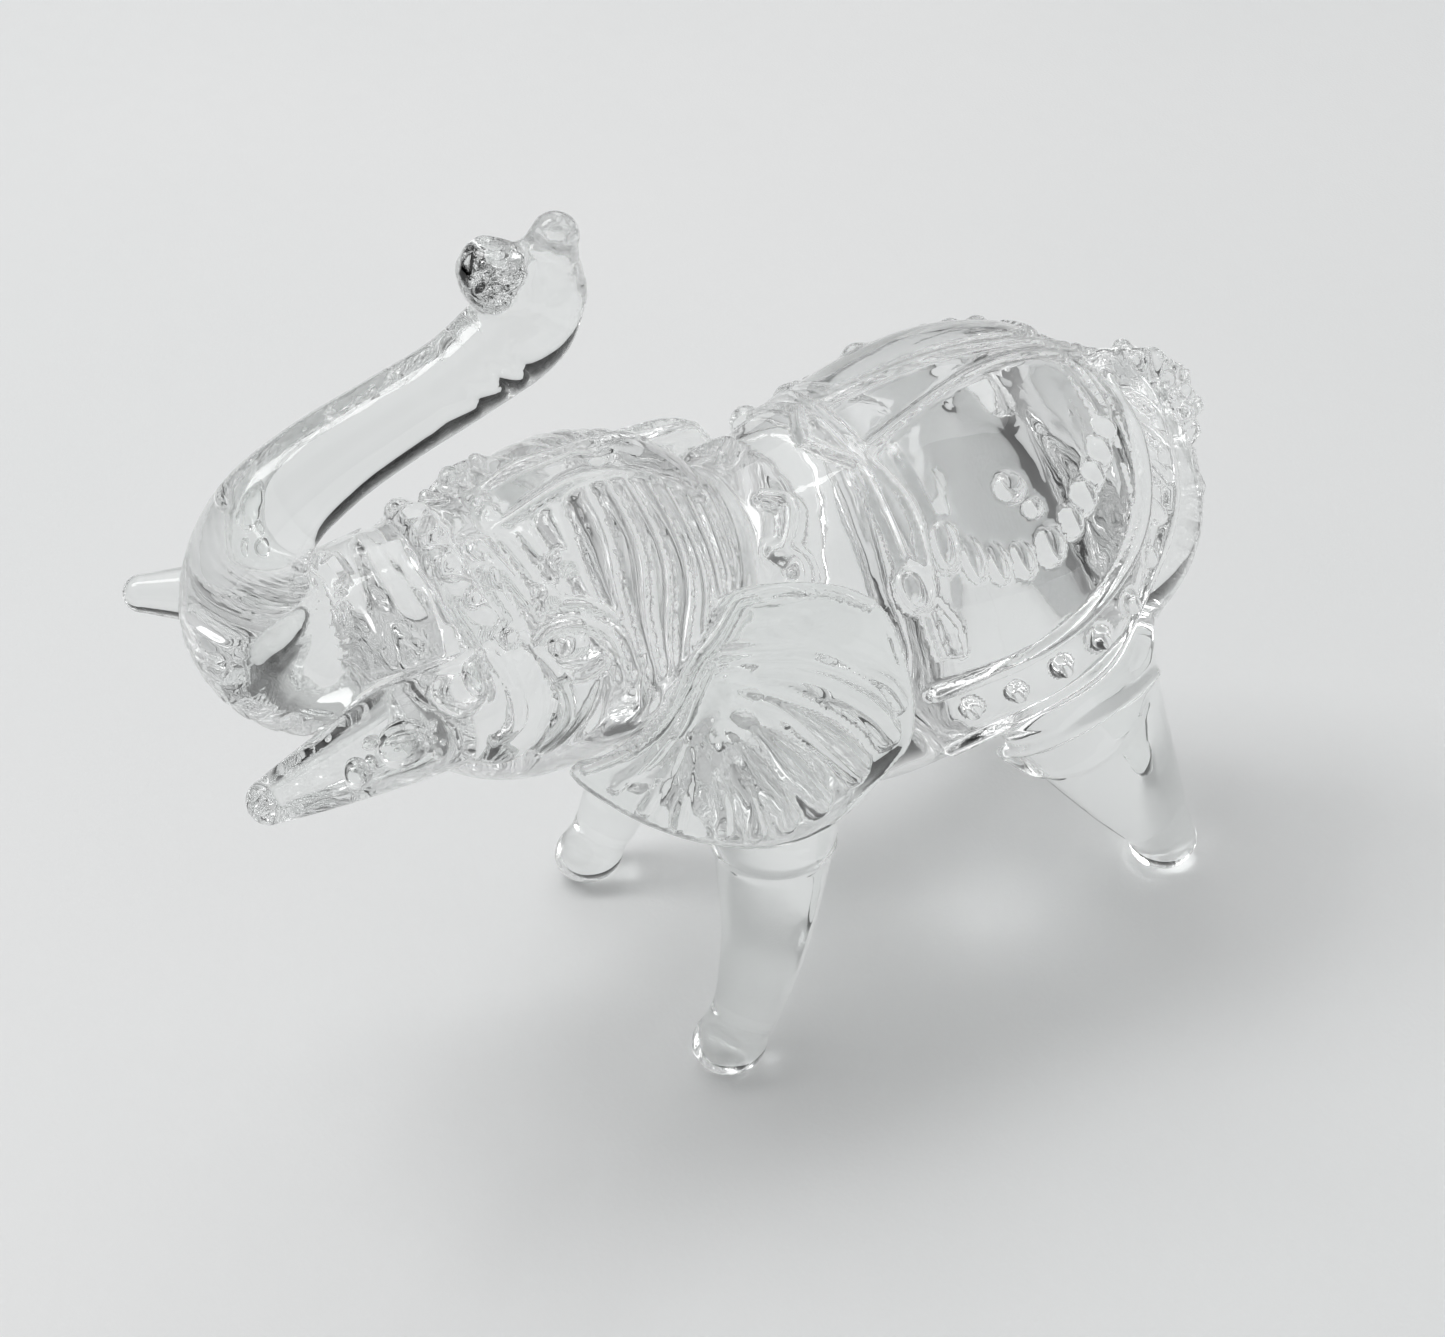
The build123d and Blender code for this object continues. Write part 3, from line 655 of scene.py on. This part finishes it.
def part_off(skin, g, sunk=None):
    """Part the side where g is negative from the rest, and close both with the same seam.

    The seam is a fan across each opening, or, for flat relief, the relief's own face sunk by a depth."""
    skin, inside = split_faces(skin, g)
    edges = open_edges(skin.faces[inside])
    if sunk is None:
        caps = []
        for loop in loops_of(edges):
            ring = loop[:, 0]
            hub = np.full(len(loop), len(skin.points))
            skin = skin.with_points(*(table[ring].mean(0)[None]
                                      for table in (skin.points, skin.normals, skin.values)))
            caps.append(np.stack([loop[:, 0], loop[:, 1], hub], 1))
        cap = np.concatenate(caps)
    else:
        own = np.unique(skin.faces[inside])
        moved = own[~np.isin(own, edges)]
        number = np.arange(len(skin.points))
        number[moved] = len(skin.points) + np.arange(len(moved))
        depth = sunk(skin.values[moved])[:, None]
        skin = skin.with_points(skin.points[moved] - skin.normals[moved] * depth,
                                skin.normals[moved], skin.values[moved])
        cap = number[skin.faces[inside]]
    marks = np.ones(len(cap), bool)
    return skin.side(inside, cap[:, [1, 0, 2]], marks), skin.side(~inside, cap, marks)


def by_side(skin, axis, at):
    """Two pieces of a skin that doesn't cross a plane: the one above it and the one below it."""
    above = skin.points[skin.faces].mean(1)[:, axis] > at
    nothing = np.zeros((0, 3), int), np.zeros(0, bool)
    return skin.side(above, *nothing), skin.side(~above, *nothing)


def part_elephant(points, normals, faces):
    """Every named piece of the figurine."""
    clay = sculpt(points, keep=True)
    names = sorted(clay.parts)
    column = {name: index for index, name in enumerate(names)}
    rest = Skin(points, normals, np.stack([clay.parts[name] for name in names], 1),
                faces, np.zeros(len(faces), bool))
    pieces = {}

    def values(*wanted):
        """The lowest of some parts' own fields at what is left of the skin."""
        return np.min([rest.values[:, column[name]] for name in wanted], axis=0)

    # relief leaves its own shape on the surface below it
    for name in (*TORSO_RELIEF, "brow_bosses", "eye"):
        under = column["under " + name]
        pieces[name], rest = part_off(rest, values(name) - values("under " + name),
                                      lambda table: np.maximum(table[:, under], 0) + RELIEF_SEAM)
    for name, outline in (("cloth_strap", "strap"), ("saddle_cloth", "cloth")):
        pieces[name], rest = part_off(rest, values(outline), lambda table: np.full(len(table), CLOTH_SEAM))

    body = ("torso", "head", "lower_jaw", "trunk")
    for name, others in (("ear", ("under ear",)), ("tusk", (*body, "tusk_socket")), ("tusk_socket", body),
                         ("nostril_lip", ("trunk", "finger_lip")), ("finger_lip", ("trunk",)),
                         ("tail_tuft", ("tail", "torso")), ("tail", ("torso",))):
        pieces[name], rest = part_off(rest, values(name) - values(*others))
    feet, rest = part_off(rest, rest.points[:, 2] - ANKLE)
    legs, rest = part_off(rest, values("front_leg", "rear_leg") - values("torso", "head"))
    in_trunk = np.minimum(rest.points[:, 1] - TRUNK_START, CLEAR_OF_HEAD - rest.points[:, 2])
    trunk, rest = part_off(rest, in_trunk)
    in_root = np.maximum(ROOT_END - trunk.points[:, 1], trunk.points[:, 2] - ROOT_TOP)
    pieces["trunk_root"], trunk = part_off(trunk, in_root)
    for name, (place, way) in TRUNK_CUTS.items():
        pieces[name], trunk = part_off(trunk, -(trunk.points - place) @ np.array(way))
    pieces["trunk_bend"] = trunk
    pieces["lower_jaw"], rest = part_off(rest, values("lower_jaw") - values("head", "torso"))
    pieces["head"], pieces["torso"] = part_off(rest, rest.points[:, 1] - NECK)

    pieces["rear_foot"], pieces["front_foot"] = by_side(feet, 1, BETWEEN_LEGS)
    pieces["rear_leg"], pieces["front_leg"] = by_side(legs, 1, BETWEEN_LEGS)
    for name in ("eye", "ear", "tusk", "tusk_socket", "front_leg", "rear_leg", "front_foot", "rear_foot"):
        pieces[name + "_left"], pieces[name + "_right"] = by_side(pieces.pop(name), 0, 0)
    return pieces


# ---- Objects ------------------------------------------------------------------------------------
def bubble(centre, sizes, axes, seed):
    """An uneven air bubble inside the glass, as points, normals and inward-facing faces."""
    rings, sides = 12, 20
    around = np.arange(sides) * 2 * math.pi / sides
    levels = np.arange(1, rings) * math.pi / rings
    ball = [(0, 0, 1)] + [(math.sin(a) * math.cos(b), math.sin(a) * math.sin(b), math.cos(a))
                          for a in levels for b in around] + [(0, 0, -1)]
    faces = []
    for side in range(sides):
        after = (side + 1) % sides
        faces.append((0, 1 + after, 1 + side))
        faces.append((len(ball) - 1, len(ball) - 1 - sides + side, len(ball) - 1 - sides + after))
        for ring in range(rings - 2):
            low, high = 1 + ring * sides, 1 + (ring + 1) * sides
            faces += [(low + side, low + after, high + after), (low + side, high + after, high + side)]
    ball = np.array(ball)
    rng = np.random.default_rng(seed)
    dents = sum(0.07 * np.cos(ball @ run + 6 * run[0]) for run in rng.normal(size=(3, 3)) * 1.8)
    normals = -(ball / sizes) @ axes.T
    normals /= np.linalg.norm(normals, axis=1)[:, None]
    return centre + (ball * sizes * (1 + dents[:, None])) @ axes.T, normals, np.array(faces)


def add_bubbles(piece, bubbles, long_axis, side):
    """Bubbles drawn out along one axis. Each has a centre on the left side, a length and a width."""
    along = np.array(long_axis, float) * (side, 1, 1)
    along /= np.linalg.norm(along)
    across = np.cross(along, (0, 0, 1.0))
    across /= np.linalg.norm(across)
    axes = np.stack([across, np.cross(along, across), along], 1)
    for seed, (centre, length, width) in enumerate(bubbles):
        sizes = np.array([width, 0.85 * width, length])
        points, normals, faces = bubble(np.array(centre) * (side, 1, 1), sizes, axes, seed)
        start = len(piece.points)
        piece.points = np.concatenate([piece.points, points])
        piece.normals = np.concatenate([piece.normals, normals])
        piece.faces = np.concatenate([piece.faces, faces + start])
        piece.seam = np.concatenate([piece.seam, np.zeros(len(faces), bool)])


def make_object(name, piece, glass, joint):
    """A piece as a Blender object that replaces the CAD node of the same name."""
    mesh = bpy.data.meshes.new(name)
    mesh.vertices.add(len(piece.points))
    mesh.vertices.foreach_set("co", (piece.points * MM).astype(np.float32).ravel())
    mesh.loops.add(3 * len(piece.faces))
    mesh.loops.foreach_set("vertex_index", piece.faces.astype(np.int32).ravel())
    mesh.polygons.add(len(piece.faces))
    mesh.polygons.foreach_set("loop_start", np.arange(0, 3 * len(piece.faces), 3, dtype=np.int32))
    mesh.polygons.foreach_set("material_index", piece.seam.astype(np.int32))
    mesh.materials.append(glass)
    mesh.materials.append(joint)
    mesh.update(calc_edges=True)
    mesh.shade_smooth()
    normals = piece.normals / np.maximum(np.linalg.norm(piece.normals, axis=1), 1e-6)[:, None]
    mesh.normals_split_custom_set_from_vertices(normals.tolist())
    item = bpy.data.objects.new(f"{name}_glass", mesh)
    bpy.context.scene.collection.objects.link(item)
    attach(item, "root")
    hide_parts(name)
    return item


# ---- Materials ----------------------------------------------------------------------------------
def add_node(tree, kind, inputs, **settings):
    """A new shader node. Each input is given a value, or the output that feeds it."""
    node = tree.nodes.new("ShaderNode" + kind)
    for name, value in settings.items():
        setattr(node, name, value)
    for name, value in inputs.items():
        if isinstance(value, bpy.types.NodeSocket):
            tree.links.new(value, node.inputs[name])
        else:
            node.inputs[name].default_value = value
    return node


def new_material(name):
    """A material and its node tree, emptied."""
    material = bpy.data.materials.new(name)
    material.use_nodes = True
    material.node_tree.nodes.clear()
    return material, material.node_tree


def noise(tree, scale, detail, low, high):
    """Noise over the object's own space, mapped to a range."""
    place = add_node(tree, "TexCoord", {})
    texture = add_node(tree, "TexNoise", {"Vector": place.outputs["Object"], "Scale": scale,
                                          "Detail": detail})
    spread = add_node(tree, "MapRange", {"Value": texture.outputs["Fac"], "From Min": 0.35, "From Max": 0.65,
                                         "To Min": low, "To Max": high})
    return spread.outputs["Result"]


def bumps(tree, height, strength, distance):
    """Normals for small bumps, with the given distance in metres."""
    bump = add_node(tree, "Bump", {"Height": height, "Strength": strength, "Distance": distance})
    return bump.outputs["Normal"]


def clear_glass():
    """Hand-drawn soda glass: clear with a trace of grey-green, and faintly rippled by its drawing."""
    material, tree = new_material("clear_glass")
    glass = add_node(tree, "BsdfPrincipled", {
        "Base Color": (0.965, 0.975, 0.97, 1), "Transmission Weight": 1, "IOR": 1.51,
        "Roughness": noise(tree, 260, 3, 0.0, 0.012),
        "Normal": bumps(tree, noise(tree, 300, 1, 0, 1), 0.03, 0.0004)})
    add_node(tree, "OutputMaterial", {"Surface": glass.outputs["BSDF"]})
    return material


def fused_joint():
    """The seam inside fused glass: there's nothing to see."""
    material, tree = new_material("fused_joint")
    through = add_node(tree, "BsdfTransparent", {})
    add_node(tree, "OutputMaterial", {"Surface": through.outputs["BSDF"]})
    return material


def pale_card():
    """The pale matt card that the figurine stands on."""
    material, tree = new_material("pale_card")
    tint = add_node(tree, "Mix", {"A": (0.775, 0.785, 0.785, 1), "B": (0.80, 0.805, 0.805, 1),
                                  "Factor": noise(tree, 7, 4, 0, 1)}, data_type="RGBA")
    card = add_node(tree, "BsdfPrincipled", {
        "Base Color": tint.outputs["Result"], "Specular IOR Level": 0.25,
        "Roughness": noise(tree, 300, 3, 0.55, 0.7),
        "Normal": bumps(tree, noise(tree, 2500, 3, 0, 1), 0.08, 0.0002)})
    add_node(tree, "OutputMaterial", {"Surface": card.outputs["BSDF"]})
    return material


# ---- The scene ----------------------------------------------------------------------------------
def aim(item, place, target):
    """Put an item somewhere and point its own -Z at a target."""
    item.location = place
    item.rotation_euler = (Vector(target) - Vector(place)).to_track_quat("-Z", "Y").to_euler()


def soft_light(name, place, target, size, power):
    """A rectangular area light, its size in metres and its power in watts."""
    light = bpy.data.lights.new(name, "AREA")
    light.shape = "RECTANGLE"
    light.size, light.size_y = size
    light.energy = power
    item = bpy.data.objects.new(name, light)
    bpy.context.scene.collection.objects.link(item)
    aim(item, place, target)


# grey levels of the walls by height, from straight down at 0 to straight up at 1
PALE_WALLS = [(0.0, 0.1), (0.5, 0.1), (0.6, 0.3), (0.71, 0.72), (1.0, 0.95)]
DARK_WALLS = [(0.0, 0.01), (0.52, 0.01), (0.62, 0.12), (0.74, 0.7), (1.0, 0.95)]
# the way to the onlooker, and how bright the room is
ONLOOKER = (0.66, -0.38, 0.65)
ROOM_LIGHT = 0.7


def height_ramp(tree, height, levels):
    """A ramp of grey levels, fed by a height."""
    ramp = add_node(tree, "ValToRGB", {"Fac": height})
    stops = ramp.color_ramp.elements
    for _ in levels[2:]:
        stops.new(0.5)
    for stop, (at, level) in zip(stops, levels):
        stop.position = at
        stop.color = (level, level * 1.005, level * 1.01, 1)
    return ramp.outputs["Color"]


def room():
    """Walls that darken towards the horizon and on the elephant's right, and someone dark close by."""
    world = bpy.data.worlds.new("room")
    bpy.context.scene.world = world
    world.use_nodes = True
    tree = world.node_tree
    way = add_node(tree, "TexCoord", {}).outputs["Generated"]
    split = add_node(tree, "SeparateXYZ", {"Vector": way})
    height = add_node(tree, "MapRange", {"Value": split.outputs["Z"], "From Min": -1}).outputs["Result"]
    far_side = add_node(tree, "MapRange", {"Value": split.outputs["X"], "From Min": 0.0, "From Max": -0.55})
    walls = add_node(tree, "Mix", {"Factor": far_side.outputs["Result"],
                                   "A": height_ramp(tree, height, PALE_WALLS),
                                   "B": height_ramp(tree, height, DARK_WALLS)}, data_type="RGBA")
    facing = add_node(tree, "VectorMath", {0: way, 1: ONLOOKER}, operation="DOT_PRODUCT")
    onlooker = add_node(tree, "MapRange", {"Value": facing.outputs["Value"], "From Min": 0.9,
                                           "From Max": 0.97, "To Min": 1, "To Max": 0.08})
    shaded = add_node(tree, "Mix", {"Factor": 1, "A": walls.outputs["Result"],
                                    "B": onlooker.outputs["Result"]}, data_type="RGBA", blend_type="MULTIPLY")
    light = tree.nodes["Background"]
    light.inputs["Strength"].default_value = ROOM_LIGHT
    tree.links.new(shaded.outputs["Result"], light.inputs["Color"])


def build():
    """The figurine, piece by piece."""
    points, normals, quads = mesh_clay(BOX_LOW, BOX_HIGH)
    faces = np.concatenate([quads[:, [0, 1, 2]], quads[:, [0, 2, 3]]])
    pieces = part_elephant(points, normals, faces)
    for name, side in (("left", 1), ("right", -1)):
        add_bubbles(pieces[f"tusk_{name}"], TUSK_BUBBLES, (5.8, -17.1, 2.8), side)
        add_bubbles(pieces[f"tusk_socket_{name}"], SOCKET_BUBBLES, (0.35, 0.3, -1), side)
    glass, joint = clear_glass(), fused_joint()
    for name, piece in sorted(pieces.items()):
        make_object(name, piece, glass, joint)


build()

floor_mesh = bpy.data.meshes.new("floor")
floor_mesh.from_pydata([(-1.5, -1.5, 0), (1.5, -1.5, 0), (1.5, 1.5, 0), (-1.5, 1.5, 0)], [], [(0, 1, 2, 3)])
floor_mesh.materials.append(pale_card())
floor = bpy.data.objects.new("floor", floor_mesh)
bpy.context.scene.collection.objects.link(floor)

room()
soft_light("window", place=(-0.42, -0.60, 1.05), target=(0, 0, 0.02), size=(0.46, 0.52), power=4.1)
soft_light("lamp", place=(-0.32, -0.22, 1.20), target=(0, 0, 0.02), size=(0.30, 0.36), power=1.8)
soft_light("ceiling", place=(-0.6, 0.35, 1.3), target=(0, 0, 0), size=(1.3, 1.3), power=4.0)

camera_data = bpy.data.cameras.new("camera")
camera_data.lens = 57.3
camera_data.sensor_width = 36
camera_data.clip_start = 0.01
camera = bpy.data.objects.new("camera", camera_data)
bpy.context.scene.collection.objects.link(camera)
azimuth, elevation, distance = math.radians(60.3), math.radians(40.0), 0.1777
target = Vector((0.00152, -0.00259, 0.03172))
back = Vector((math.sin(azimuth) * math.cos(elevation), -math.cos(azimuth) * math.cos(elevation),
               math.sin(elevation)))
aim(camera, target + distance * back, target)
scene = bpy.context.scene
scene.camera = camera

scene.view_settings.view_transform = "Standard"
scene.cycles.max_bounces = 24
scene.cycles.transmission_bounces = 20
scene.cycles.transparent_max_bounces = 64
scene.cycles.glossy_bounces = 20
scene.cycles.diffuse_bounces = 4
scene.cycles.sample_clamp_indirect = 20
scene.cycles.blur_glossy = 0.3
scene.cycles.use_denoising = True
